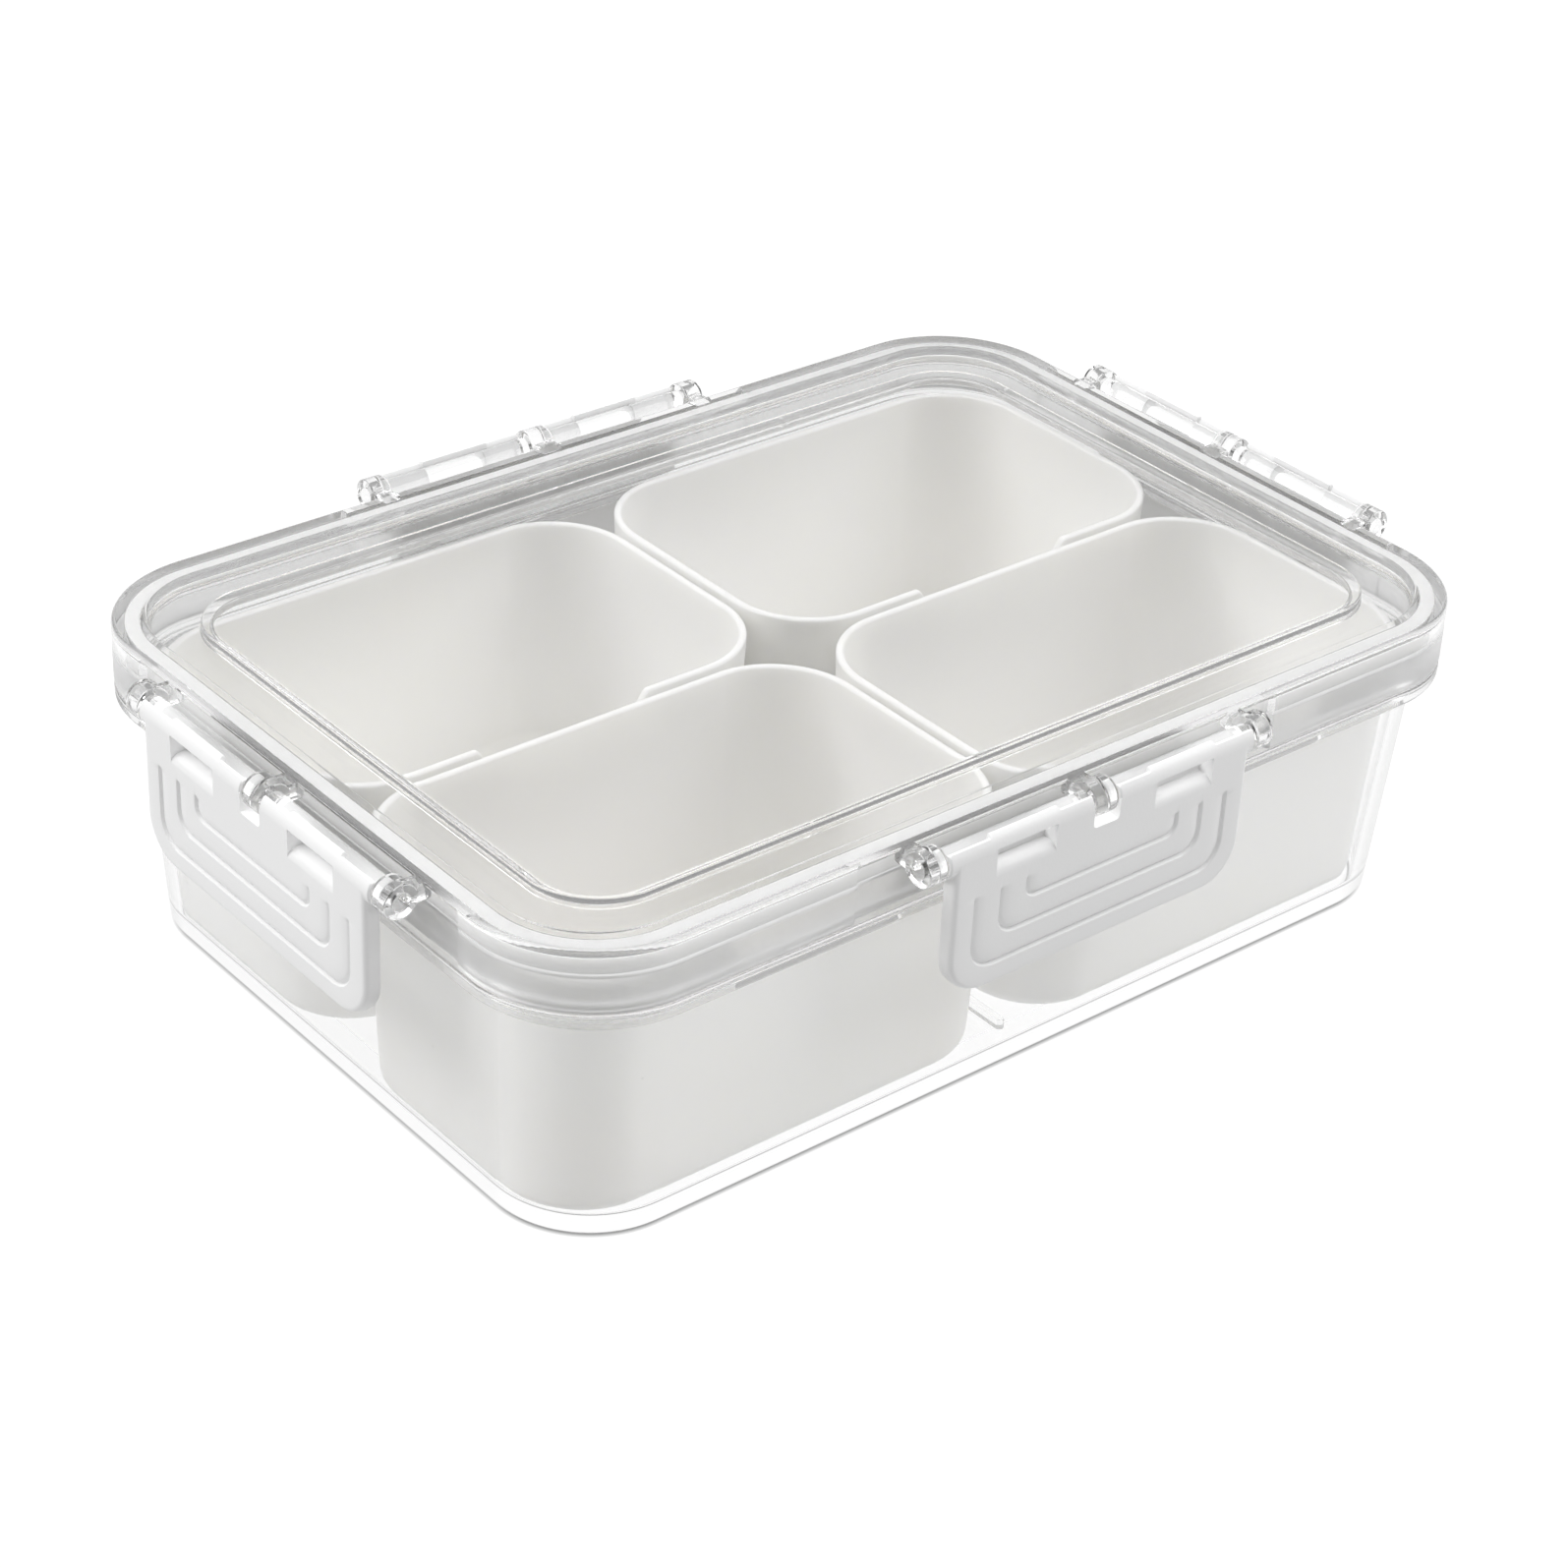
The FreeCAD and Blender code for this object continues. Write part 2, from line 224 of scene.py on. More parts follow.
# Cups.
cup_wall = 1.3
cup_wall_levels = 8
cup_floor = 1.4
cup_floor_support = 12.0
cup_lean = 1.8
cup_corner = 15.0
cup_base_radius = 5.0
cup_rim_radius = 0.5
finger_notch_half = 15.0
finger_notch_depth = 3.6
finger_notch_slope = 3.0
finger_notch_stops = 10
finger_notch_reach = 10.0

# How finely round stretches are divided, and where shading breaks.
corner_steps = 22
fillet_steps = 4
cup_fillet_steps = 6
fillet_steps_per_mm = 3
fillet_reach_share = 0.48
turn_steps = 48
sharp_angle = 38.0
weld_distance = 1e-7


def smooth_step(share):
    """0 below 0, 1 above 1, with an easy rise between."""
    share = min(max(share, 0.0), 1.0)
    return share * share * (3 - 2 * share)


def between(table, place):
    """The value at a place in a rising table of (place, value) pairs."""
    for (a, low), (b, high) in zip(table, table[1:]):
        if place <= b:
            return low + (high - low) * max(place - a, 0.0) / (b - a)
    return table[-1][1]


def spaced(middle, width, steps):
    """Evenly spaced places over a width about a middle."""
    return [middle + width * (k / steps - 0.5) for k in range(steps + 1)]


def new_piece(name, points, faces):
    """A mesh object from millimetre points."""
    mesh = bpy.data.meshes.new(name)
    mesh.from_pydata([Vector(p) * MM for p in points], [], faces)
    mesh.validate()
    obj = bpy.data.objects.new(name, mesh)
    bpy.context.scene.collection.objects.link(obj)
    return obj


def skin(rings, closed_rings=True, caps=True, wrap=False):
    """Points and faces of a skin over rings that have equally many points."""
    count = len(rings[0])
    points = [p for ring in rings for p in ring]
    faces = []
    spans = len(rings) if wrap else len(rings) - 1
    around = count if closed_rings else count - 1
    for i in range(spans):
        a = i * count
        b = (i + 1) % len(rings) * count
        for j in range(around):
            k = (j + 1) % count
            faces.append((a + j, a + k, b + k, b + j))
    if caps:
        faces.append(tuple(reversed(range(count))))
        faces.append(tuple(range(len(points) - count, len(points))))
    return points, faces


def outward(obj):
    """Joins points that coincide and turns all faces outward."""
    work = bmesh.new()
    work.from_mesh(obj.data)
    bmesh.ops.remove_doubles(work, verts=work.verts, dist=weld_distance)
    bmesh.ops.recalc_face_normals(work, faces=work.faces)
    work.to_mesh(obj.data)
    work.free()
    return obj


def bevelled(obj, bevel, segments=2):
    """Rounds all edges of a mesh."""
    work = bmesh.new()
    work.from_mesh(obj.data)
    edges = work.edges[:]
    bmesh.ops.bevel(work, geom=edges, offset=bevel * MM, segments=segments, profile=0.5, affect="EDGES")
    bmesh.ops.recalc_face_normals(work, faces=work.faces)
    work.to_mesh(obj.data)
    work.free()
    return obj


def combine(base, others, operation):
    """Joins others to the base, or cuts them from it, and removes them."""
    for other in others:
        step = base.modifiers.new(operation.lower(), "BOOLEAN")
        step.operation = operation
        step.solver = "EXACT"
        step.object = other
    graph = bpy.context.evaluated_depsgraph_get()
    result = bpy.data.meshes.new_from_object(base.evaluated_get(graph))
    base.modifiers.clear()
    base.data = result
    for other in others:
        bpy.data.objects.remove(other)
    return base


def smooth_faces(obj):
    """Smooth shading that keeps flat faces flat and hard corners hard."""
    for face in obj.data.polygons:
        face.use_smooth = True
    obj.data.set_sharp_from_angle(angle=math.radians(sharp_angle))
    weighted = obj.modifiers.new("flat faces", "WEIGHTED_NORMAL")
    weighted.keep_sharp = True
    return obj


def softened(section, closed=False, steps=fillet_steps):
    """Rounds the corners of a section; a point is (inset, height, spread, radius)."""
    result = []
    count = len(section)
    for i, (inset, height, spread, radius) in enumerate(section):
        here = Vector((inset, height))
        if radius == 0 or (not closed and i in (0, count - 1)):
            result.append((inset, height, spread))
            continue
        before = Vector(section[i - 1][:2]) - here
        after = Vector(section[(i + 1) % count][:2]) - here
        half = before.angle(after) / 2
        longest = (before.length * fillet_reach_share, after.length * fillet_reach_share)
        reach = min(radius / math.tan(half), *longest)
        bend = reach * math.tan(half)
        middle = here + (before.normalized() + after.normalized()).normalized() * bend / math.sin(half)
        start = here + before.normalized() * reach - middle
        turn = start.angle_signed(here + after.normalized() * reach - middle)
        parts = max(steps, round(bend * fillet_steps_per_mm))
        for k in range(parts + 1):
            spoke = start.copy()
            spoke.rotate(Matrix.Rotation(-turn * k / parts, 2))
            result.append((middle.x + spoke.x, middle.y + spoke.y, spread))
    return result


def side_stops(places, half):
    """Places along a side as shares of its straight half."""
    return [place / half for place in places]


def outline(length, depth, radius, long_stops=(0.0,), short_stops=(0.0,)):
    """Points round a rounded rectangle as (x, y, outward x, outward y, side, share along the side)."""
    across = length / 2 - radius
    along = depth / 2 - radius
    points = []
    corners = ((1, 1), (-1, 1), (-1, -1), (1, -1))
    sides = ("back", "left", "front", "right")
    for k, (sx, sy) in enumerate(corners):
        for step in range(corner_steps + 1):
            angle = math.radians(90 * (k + step / corner_steps))
            nx = math.cos(angle)
            ny = math.sin(angle)
            points.append((sx * across + radius * nx, sy * along + radius * ny, nx, ny, None, 0.0))
        side = sides[k]
        if side in ("back", "front"):
            sign = 1 if side == "back" else -1
            for share in sorted(long_stops, reverse=side == "back"):
                points.append((share * across, sign * depth / 2, 0.0, float(sign), side, share))
        else:
            sign = -1 if side == "left" else 1
            for share in sorted(short_stops, reverse=side == "left"):
                points.append((sign * length / 2, share * along, float(sign), 0.0, side, share))
    return points


def body_outline(inset, spread, **stops):
    """The shared outline, moved in by an inset, with its corners widened by a spread."""
    return outline(body_length - 2 * inset, body_depth - 2 * inset, body_corner - inset + spread, **stops)


def body_rings(section, closed=False):
    """One ring round the body for each point of a softened section."""
    rings = []
    for inset, height, spread in softened(section, closed):
        rings.append([(p[0], p[1], height) for p in body_outline(inset, spread)])
    return rings


def wall_inset(height, inset):
    """Inset and spread of the tub's leaning wall at a height."""
    share = (flange_top - height) / flange_top
    return flange_overhang + wall_lean * share + inset, base_spread * share


def make_tub():
    """Floor, leaning wall, ledge, rim, flange and foot ring as one skin, with two ribs on the floor."""
    floor_inset, floor_spread = wall_inset(floor_top, wall_thickness)
    base_inset, _ = wall_inset(0.0, 0.0)
    neck_inset, neck_spread = wall_inset(flange_underside, 0.0)
    ledge_inset = flange_overhang + wall_thickness
    foot_inset = base_inset + foot_ring_width
    section = [
        (floor_inset + floor_support, floor_top, floor_spread, 0),
        (floor_inset, floor_top, floor_spread, floor_radius),
        (ledge_inset, flange_top, 0, ledge_radius),
        (rim_inner_inset, flange_top, 0, rim_root_radius),
        (rim_inner_inset, rim_top, 0, rim_edge_radius),
        (rim_outer_inset, rim_top, 0, rim_edge_radius),
        (rim_outer_inset, flange_top, 0, rim_root_radius),
        (0, flange_top, 0, flange_edge_radius),
        (0, flange_underside, 0, flange_edge_radius),
        (neck_inset, flange_underside, neck_spread, neck_radius),
        (base_inset, 0, base_spread, base_radius),
        (foot_inset, 0, base_spread, foot_ring_radius),
        (foot_inset, foot_ring_height, base_spread, foot_ring_radius),
        (foot_inset + floor_support, foot_ring_height, base_spread, 0),
    ]
    tub = outward(new_piece("clear_tub", *skin(body_rings(section))))
    floor_edge = body_depth / 2 - floor_inset
    rib_place = floor_edge - rib_wall_gap - rib_length / 2 - rib_width / 2
    ribs = [make_rib(rib_place), make_rib(-rib_place)]
    return smooth_faces(combine(tub, ribs, "UNION"))


def make_rib(place):
    """A low rib with round ends and a round top, sunk a little into the floor."""
    top = floor_top + rib_height
    levels = (
        (0.0, floor_top - rib_sink),
        (0.0, top - rib_edge),
        (rib_edge_middle, top - rib_edge_middle),
        (rib_edge, top),
    )
    steps = 2 * corner_steps
    rings = []
    for inset, height in levels:
        radius = rib_width / 2 - inset
        loop = []
        for k in range(steps):
            angle = 2 * math.pi * k / steps
            reach = rib_length / 2 if math.sin(angle) >= 0 else -rib_length / 2
            loop.append((radius * math.cos(angle), place + reach + radius * math.sin(angle), height))
        rings.append(loop)
    return outward(new_piece("rib", *skin(rings)))


def recess_share(share, half):
    """How far into a side's recess a place along the side lies, from 0 to 1."""
    return smooth_step((recess_length / 2 + recess_step / 2 - abs(share) * half) / recess_step)


def make_lid():
    """Raised panel, valley, band, skirt and gasket channel as one skin, with the hinges joined to it."""
    valley_underside = valley_top - plate_thickness
    hollow_inset = panel_inset + plate_thickness
    hollow_top = panel_top - plate_thickness
    section = [
        (panel_inset + panel_support, panel_top, panel_spread, 0),
        (panel_inset, panel_top, panel_spread, panel_edge_radius),
        (panel_inset, valley_top, panel_spread, panel_root_radius),
        (band_width, valley_top, 0, band_root_radius),
        (band_width, lid_top, 0, band_edge_radius),
        (0, lid_top, 0, lid_edge_radius),
        (0, lid_top - recess_top_margin - recess_fade, 0, 0),
        (0, skirt_bottom, 0, skirt_lip_radius),
        (skirt_thickness, skirt_bottom, 0, skirt_lip_radius),
        (skirt_thickness, band_underside, 0, channel_radius),
        (channel_inner_inset, band_underside, 0, channel_radius),
        (channel_inner_inset, valley_underside, 0, underside_radius),
        (hollow_inset, valley_underside, panel_spread, underside_radius),
        (hollow_inset, hollow_top, panel_spread, hollow_radius),
        (hollow_inset + panel_support, hollow_top, panel_spread, 0),
    ]
    long_half = body_length / 2 - body_corner
    short_half = body_depth / 2 - body_corner
    halves = {"front": long_half, "back": long_half, "left": short_half, "right": short_half}
    step_places = spaced(recess_length / 2, recess_step, recess_stops)
    places = sorted([-p for p in step_places] + step_places)
    stops = {"long_stops": side_stops(places, long_half), "short_stops": side_stops(places, short_half)}
    rings = []
    for inset, height, spread in softened(section):
        loop = []
        for x, y, nx, ny, side, share in body_outline(inset, spread, **stops):
            sink = 0.0
            if side and inset < skirt_thickness - recess_depth + recess_touch:
                sink = recess_depth * recess_share(share, halves[side])
                sink *= smooth_step((lid_top - recess_top_margin - height) / recess_fade)
            loop.append((x - nx * sink, y - ny * sink, height))
        rings.append(loop)
    lid = outward(new_piece("clear_lid", *skin(rings)))
    hinges = [on_side(make_hinge(), side) for side in side_turns]
    return smooth_faces(combine(lid, hinges, "UNION"))


def turned(section):
    """A body turned about X from (x, radius) points that start and end on the axis."""
    rings = []
    for x, radius in section[1:-1]:
        ring = []
        for k in range(turn_steps):
            angle = 2 * math.pi * k / turn_steps
            ring.append((x, radius * math.cos(angle), radius * math.sin(angle)))
        rings.append(ring)
    return outward(new_piece("turned", *skin(rings)))


def bevelled_box(low, high, bevel, segments=2):
    """A box with all its edges rounded."""
    rings = []
    for z in (low[2], high[2]):
        rings.append([(low[0], low[1], z), (high[0], low[1], z), (high[0], high[1], z), (low[0], high[1], z)])
    return bevelled(new_piece("block", *skin(rings)), bevel, segments)


def make_hinge():
    """The bar of one latch with its lugs and webs, about the hinge axis, outward along -Y."""
    core = lug_outer_face - lug_core_depth
    near = lug_edge / 3
    half = [
        (core, 0.0),
        (core, lug_core_radius),
        (lug_outer_face - lug_edge / 2, lug_core_radius),
        (lug_outer_face, lug_core_radius + lug_edge / 2),
        (lug_outer_face, lug_radius - lug_edge),
        (lug_outer_face - near, lug_radius - near),
        (lug_outer_face - lug_edge, lug_radius),
        (lug_inner_face + lug_edge, lug_radius),
        (lug_inner_face + near, lug_radius - near),
        (lug_inner_face, lug_radius - lug_edge),
        (lug_inner_face, bar_radius),
        (middle_lug_half, bar_radius),
        (middle_lug_half, lug_radius - lug_edge),
        (middle_lug_half - near, lug_radius - near),
        (middle_lug_half - lug_edge, lug_radius),
    ]
    hinge = turned(half + [(-x, r) for x, r in reversed(half)])
    wall = hinge_offset + recess_depth + web_sink
    spans = (
        (-lug_outer_face, -lug_inner_face),
        (-middle_lug_half, middle_lug_half),
        (lug_inner_face, lug_outer_face),
    )
    webs = []
    for start, end in spans:
        low = (start + web_side_inset, bar_radius * web_root_share, -web_half_height)
        high = (end - web_side_inset, wall, web_half_height)
        webs.append(bevelled_box(low, high, web_bevel, web_bevel_steps))
    return combine(hinge, webs, "UNION")


def on_side(obj, side):
    """Moves a piece made about the front hinge axis to a side of the box."""
    across = side in ("front", "back")
    reach = (body_depth if across else body_length) / 2 + hinge_offset
    place = Matrix.Translation(Vector((0, -reach, hinge_height)) * MM)
    obj.data.transform(Matrix.Rotation(math.radians(side_turns[side]), 4, "Z") @ place)
    return obj


def make_gasket():
    """A ring with round lower lips in the lid's channel."""
    outer = body_length / 2 - gasket_high.x
    inner = outer + gasket_width
    section = [
        (outer, gasket_low.z, 0, gasket_lip_radius),
        (inner, gasket_low.z, 0, gasket_lip_radius),
        (inner, gasket_high.z, 0, gasket_top_radius),
        (outer, gasket_high.z, 0, gasket_top_radius),
    ]
    rings = body_rings(section, closed=True)
    return smooth_faces(outward(new_piece("seal_ring", *skin(rings, caps=False, wrap=True))))


def u_loop(inset, out, depth):
    """A U from its left top end round to its right top end; depth sinks it, fading out near the top."""
    half = flap_half_width - inset
    bottom = flap_bottom + inset * flap_rise_share
    radius = between(flap_corners, inset)
    drop = groove_fade_low - groove_fade_high
    fade = [groove_fade_high + drop * k / groove_fade_steps for k in range(groove_fade_steps + 1)]
    arm = [(half, z) for z in [0.0] + fade]
    steps = corner_steps // 2
    bend = []
    for k in range(steps + 1):
        angle = math.pi / 2 * k / steps
        bend.append((half - radius + radius * math.cos(angle), bottom + radius - radius * math.sin(angle)))
    right = arm + bend
    loop = [(-x, z) for x, z in right] + [(x, z) for x, z in reversed(right)]
    points = []
    for x, z in loop:
        keep = smooth_step((groove_fade_high - z) / (groove_fade_high - groove_fade_low))
        points.append((x, -out + depth * keep, z))
    return points


def make_flap():
    """The latch's plate: round edges, a flat back and nested U grooves in its face."""
    quarter = [math.pi / 2 * k / fillet_steps for k in range(fillet_steps + 1)]
    rows = []
    for angle in reversed(quarter):
        out = flap_inner + flap_back_radius * (1 - math.sin(angle))
        rows.append((flap_back_radius * (1 - math.cos(angle)), out, 0.0))
    for angle in quarter:
        out = barrel_radius - flap_edge_radius * (1 - math.sin(angle))
        rows.append((flap_edge_radius * (1 - math.cos(angle)), out, 0.0))
    rows.append((flap_face_start, barrel_radius, 0.0))
    for place in groove_insets:
        for step, share in groove_section:
            rows.append((place + step, barrel_radius, groove_depth * share))
    rings = [u_loop(inset, out, depth) for inset, out, depth in rows]
    points, faces = skin(rings, closed_rings=False)
    count = len(rings[0])
    left_ends = [i * count for i in range(len(rings))]
    right_ends = [i * count + count - 1 for i in range(len(rings))]
    faces.append(tuple(left_ends + list(reversed(right_ends))))
    return outward(new_piece("flap", points, faces))


def clip_ring(place, high_angle, shrink):
    """The open ring of the barrel's section at a place along the axis."""
    outer = barrel_radius - shrink
    inner = bore_radius + shrink
    middle = (outer + inner) / 2
    spread = math.degrees(clip_edge / middle)
    steps = turn_steps // 2
    loop = []
    for k in range(steps + 1):
        angle = clip_low_angle + spread + (high_angle - clip_low_angle - 2 * spread) * k / steps
        loop.append((angle, outer))
    loop.append((high_angle, outer - clip_edge))
    loop.append((high_angle, inner + clip_edge))
    for k in range(steps + 1):
        angle = high_angle - spread + (clip_low_angle - high_angle + 2 * spread) * k / steps
        loop.append((angle, inner))
    loop.append((clip_low_angle, inner + clip_edge))
    loop.append((clip_low_angle, outer - clip_edge))
    ring = []
    for angle, radius in loop:
        turn = math.radians(angle)
        ring.append((place, -radius * math.cos(turn), radius * math.sin(turn)))
    return ring


def make_clip(sign):
    """One half of the open barrel, with a taller stretch over its slot."""
    places = [barrel_start, barrel_start + clip_edge]
    for edge in (clip_raised_from, clip_raised_to):
        places += spaced(edge, clip_ramp, clip_ramp_steps)
    places += [barrel_end - clip_edge, barrel_end]
    rings = []
    for place in places:
        lift = smooth_step((place - clip_raised_from) / clip_ramp + 0.5)
        lift -= smooth_step((place - clip_raised_to) / clip_ramp + 0.5)
        high = clip_high_angle + (clip_raised_angle - clip_high_angle) * lift
        shrink = clip_edge if place in (barrel_start, barrel_end) else 0.0
        rings.append(clip_ring(sign * place, high, shrink))
    return outward(new_piece("clip", *skin(rings)))


def make_latch(name):
    """Flap, barrel halves and hook, with the slots and the middle lug's notch cut out."""
    latch = make_flap()
    latch.name = name
    wide = barrel_end + cut_overrun
    clear = bore_radius + bore_margin
    bore = turned([(-wide, 0), (-wide, clear), (wide, clear), (wide, 0)])
    gap = barrel_start + lug_notch_margin
    low = (-gap, -lug_notch_reach, lug_notch_bottom)
    high = (gap, lug_notch_reach, lug_notch_reach)
    notch = bevelled_box(low, high, lug_notch_bevel)
    latch = combine(latch, [bore, notch], "DIFFERENCE")
    latch = combine(latch, [make_clip(1), make_clip(-1), make_hook()], "UNION")
    slots = [make_slot(slot_start, slot_end), make_slot(-slot_end, -slot_start)]
    return smooth_faces(combine(latch, slots, "DIFFERENCE"))


def make_slot(start, end):
    """A slot in the barrel's front with a round lower lip, to cut away."""
    before = -barrel_radius - cut_overrun
    lip_y = slot_lip_radius - barrel_radius
    lip_z = slot_bottom - slot_lip_radius
    profile = [(before, lip_z), (before, slot_top), (-flap_inner, slot_top), (-flap_inner, slot_bottom)]
    steps = 2 * fillet_steps
    for k in range(steps + 1):
        angle = math.pi / 2 * (1 + k / steps)
        profile.append((lip_y + slot_lip_radius * math.cos(angle), lip_z + slot_lip_radius * math.sin(angle)))
    return outward(new_piece("slot", *skin([[(x, y, z) for y, z in profile] for x in (start, end)])))


def make_hook():
    """The catch behind the flap, with soft edges."""
    root = -(flap_inner + barrel_radius) / 2
    profile = [
        (root, hook_top),
        (hook_tip, hook_top),
        (hook_tip, hook_top - hook_tip_height),
        (root, hook_top - hook_root_height),
    ]
    rings = [[(x, y, z) for y, z in profile] for x in (-hook_half, hook_half)]
    return bevelled(outward(new_piece("hook", *skin(rings))), hook_bevel)


def make_cup(name, node):
    """A cup with leaning walls, a round base and a rolled rim that dips in a finger notch at the front."""
    low, high = box_mm(node)
    length = high.x - low.x
    depth = high.y - low.y
    height = high.z - low.z
    middle = (low + high) / 2
    inner_low = low.z + cup_floor
    inner_inset = cup_wall + cup_lean * (1 - cup_floor / height)
    level_shares = [k / cup_wall_levels for k in range(1, cup_wall_levels)]
    section = [
        (inner_inset + cup_floor_support, inner_low, 0, 0),
        (inner_inset, inner_low, 0, cup_base_radius - cup_wall),
    ]
    for share in level_shares:
        lean = inner_inset + (cup_wall - inner_inset) * share
        section.append((lean, inner_low + (high.z - inner_low) * share, 0, 0))
    section.append((cup_wall, high.z, 0, cup_rim_radius))
    section.append((0.0, high.z, 0, cup_rim_radius))
    for share in level_shares:
        section.append((cup_lean * share, high.z - height * share, 0, 0))
    section.append((cup_lean, low.z, 0, cup_base_radius))
    section.append((cup_lean + cup_floor_support, low.z, 0, 0))
    straight = length / 2 - cup_corner
    slopes = spaced(finger_notch_half, finger_notch_slope, finger_notch_stops)
    stops = side_stops([-p for p in slopes] + [0.0] + slopes, straight)
    notch_end = finger_notch_half + finger_notch_slope / 2
    reach = high.z - finger_notch_reach
    rings = []
    for inset, level, _ in softened(section, steps=cup_fillet_steps):
        loop = []
        places = outline(length - 2 * inset, depth - 2 * inset, cup_corner - inset, stops)
        for x, y, nx, ny, side, share in places:
            dip = 0.0
            if side == "front" and level > reach:
                place = abs(share) * straight
                dip = finger_notch_depth * smooth_step((notch_end - place) / finger_notch_slope)
                dip *= (level - reach) / (high.z - reach)
            lean = cup_lean * dip / height
            loop.append((middle.x + x - nx * lean, middle.y + y - ny * lean, level - dip))
        rings.append(loop)
    return smooth_faces(outward(new_piece(name, *skin(rings))))


# Finishes. A tint is a lightness from 0 to 1.
clear_index = 1.49
clear_speck_tint = 0.55
# Painted shade: clear plastic seen edge-on is darkened toward this grey.
painted_edge_shade_tint = 0.35
through_tint = 0.98
glossy_bounces = 2.5
resting_height = 0.3
frost_drop = 3.6
frost_roughness = 0.3
frost_tint = 0.76
frost_fade = 0.8
# Painted shade: a dark line along the skirt's lip stands for the shaded gap above the tub's flange.
gap_shade_height = 0.6
painted_gap_shade_tint = 0.5
satin_speck_tint = 0.35
roughness_swing = 0.05
grain_lift = 0.1
glow_radius = (0.004, 0.004, 0.0038)
cup_light_tint = (1.0, 0.989, 0.966)
cup_deep_tint = (1.0, 0.987, 0.962)


def grey(level, tint=(1.0, 1.0, 1.0)):
    """A colour of one lightness with a slight tint."""
    return (level * tint[0], level * tint[1], level * tint[2], 1.0)


def node_group(name, inputs, outputs):
    """A shader node group with float or colour sockets, and its inner ends."""
    group = bpy.data.node_groups.new(name, "ShaderNodeTree")
    kinds = {"value": "NodeSocketFloat", "colour": "NodeSocketColor"}
    for socket, (kind, default) in inputs.items():
        made = group.interface.new_socket(socket, in_out="INPUT", socket_type=kinds[kind])
        made.default_value = default
    for socket, kind in outputs.items():
        group.interface.new_socket(socket, in_out="OUTPUT", socket_type=kinds[kind])
    start = group.nodes.new("NodeGroupInput")
    end = group.nodes.new("NodeGroupOutput")
    return group, start, end


def add_node(tree, kind, inputs=None, **settings):
    """A node with its settings and inputs; an input is a value or another node's socket."""
    node = tree.nodes.new(kind)
    for key, value in settings.items():
        setattr(node, key, value)
    for key, value in (inputs or {}).items():
        if isinstance(value, bpy.types.NodeSocket):
            tree.links.new(value, node.inputs[key])
        else:
            node.inputs[key].default_value = value
    return node


def maths(tree, operation, first, second):
    """The result of an operation on two values."""
    return add_node(tree, "ShaderNodeMath", {0: first, 1: second}, operation=operation).outputs[0]


def ranged(tree, value, low, high, from_low=0.0, from_high=1.0):
    """A value mapped from one range to another."""
    inputs = {"Value": value, "From Min": from_low, "From Max": from_high, "To Min": low, "To Max": high}
    return add_node(tree, "ShaderNodeMapRange", inputs).outputs["Result"]


def blended(tree, share, first, second):
    """Two colours mixed by a share; the colour sockets of a Mix node are found by number."""
    return add_node(tree, "ShaderNodeMix", {0: share, 6: first, 7: second}, data_type="RGBA").outputs[2]


def flow_group():
    """Slow cloudy change in colour and gloss, as in moulded plastic."""
    inputs = {
        "Light colour": ("colour", (1, 1, 1, 1)),
        "Deep colour": ("colour", (0.9, 0.9, 0.9, 1)),
        "Scale": ("value", 20.0),
        "Low roughness": ("value", 0.3),
        "High roughness": ("value", 0.4),
    }
    group, start, end = node_group("moulded_flow", inputs, {"Colour": "colour", "Roughness": "value"})
    given = start.outputs
    place = add_node(group, "ShaderNodeTexCoord").outputs["Object"]
    noise = {"Vector": place, "Scale": given["Scale"], "Detail": 3.0, "Roughness": 0.5}
    cloud = add_node(group, "ShaderNodeTexNoise", noise).outputs["Fac"]
    share = ranged(group, cloud, 0.0, 1.0, from_low=0.35, from_high=0.65)
    colour = blended(group, share, given["Deep colour"], given["Light colour"])
    rough = ranged(group, cloud, given["Low roughness"], given["High roughness"], from_low=0.3, from_high=0.7)
    group.links.new(colour, end.inputs["Colour"])
    group.links.new(rough, end.inputs["Roughness"])
    return group


def speck_group():
    """Sparse tiny specks: dust on the surface and pinholes in the moulding."""
    inputs = {"Scale": ("value", 140.0), "Size": ("value", 0.05), "Strength": ("value", 0.5)}
    group, start, end = node_group("fine_specks", inputs, {"Mask": "value"})
    rare_above = 0.9
    place = add_node(group, "ShaderNodeTexCoord").outputs["Object"]
    cells = add_node(group, "ShaderNodeTexVoronoi", {"Vector": place, "Scale": start.outputs["Scale"]})
    near = maths(group, "LESS_THAN", cells.outputs["Distance"], start.outputs["Size"])
    chosen = add_node(group, "ShaderNodeSeparateColor", {"Color": cells.outputs["Color"]}).outputs[0]
    rare = maths(group, "GREATER_THAN", chosen, rare_above)
    both = maths(group, "MULTIPLY", near, rare)
    group.links.new(maths(group, "MULTIPLY", both, start.outputs["Strength"]), end.inputs["Mask"])
    return group


def grain_group():
    """The height of a fine satin grain with a soft ripple under it."""
    inputs = {
        "Grain scale": ("value", 2500.0),
        "Ripple scale": ("value", 60.0),
        "Ripple share": ("value", 0.5),
    }
    group, start, end = node_group("satin_grain", inputs, {"Height": "value"})
    place = add_node(group, "ShaderNodeTexCoord").outputs["Object"]
    layers = []
    for scale in ("Grain scale", "Ripple scale"):
        noise = add_node(group, "ShaderNodeTexNoise", {"Vector": place, "Scale": start.outputs[scale]})
        layers.append(noise.outputs["Fac"])
    mixed = {0: start.outputs["Ripple share"], 2: layers[0], 3: layers[1]}
    group.links.new(add_node(group, "ShaderNodeMix", mixed).outputs[0], end.inputs["Height"])
    return group


groups = {}


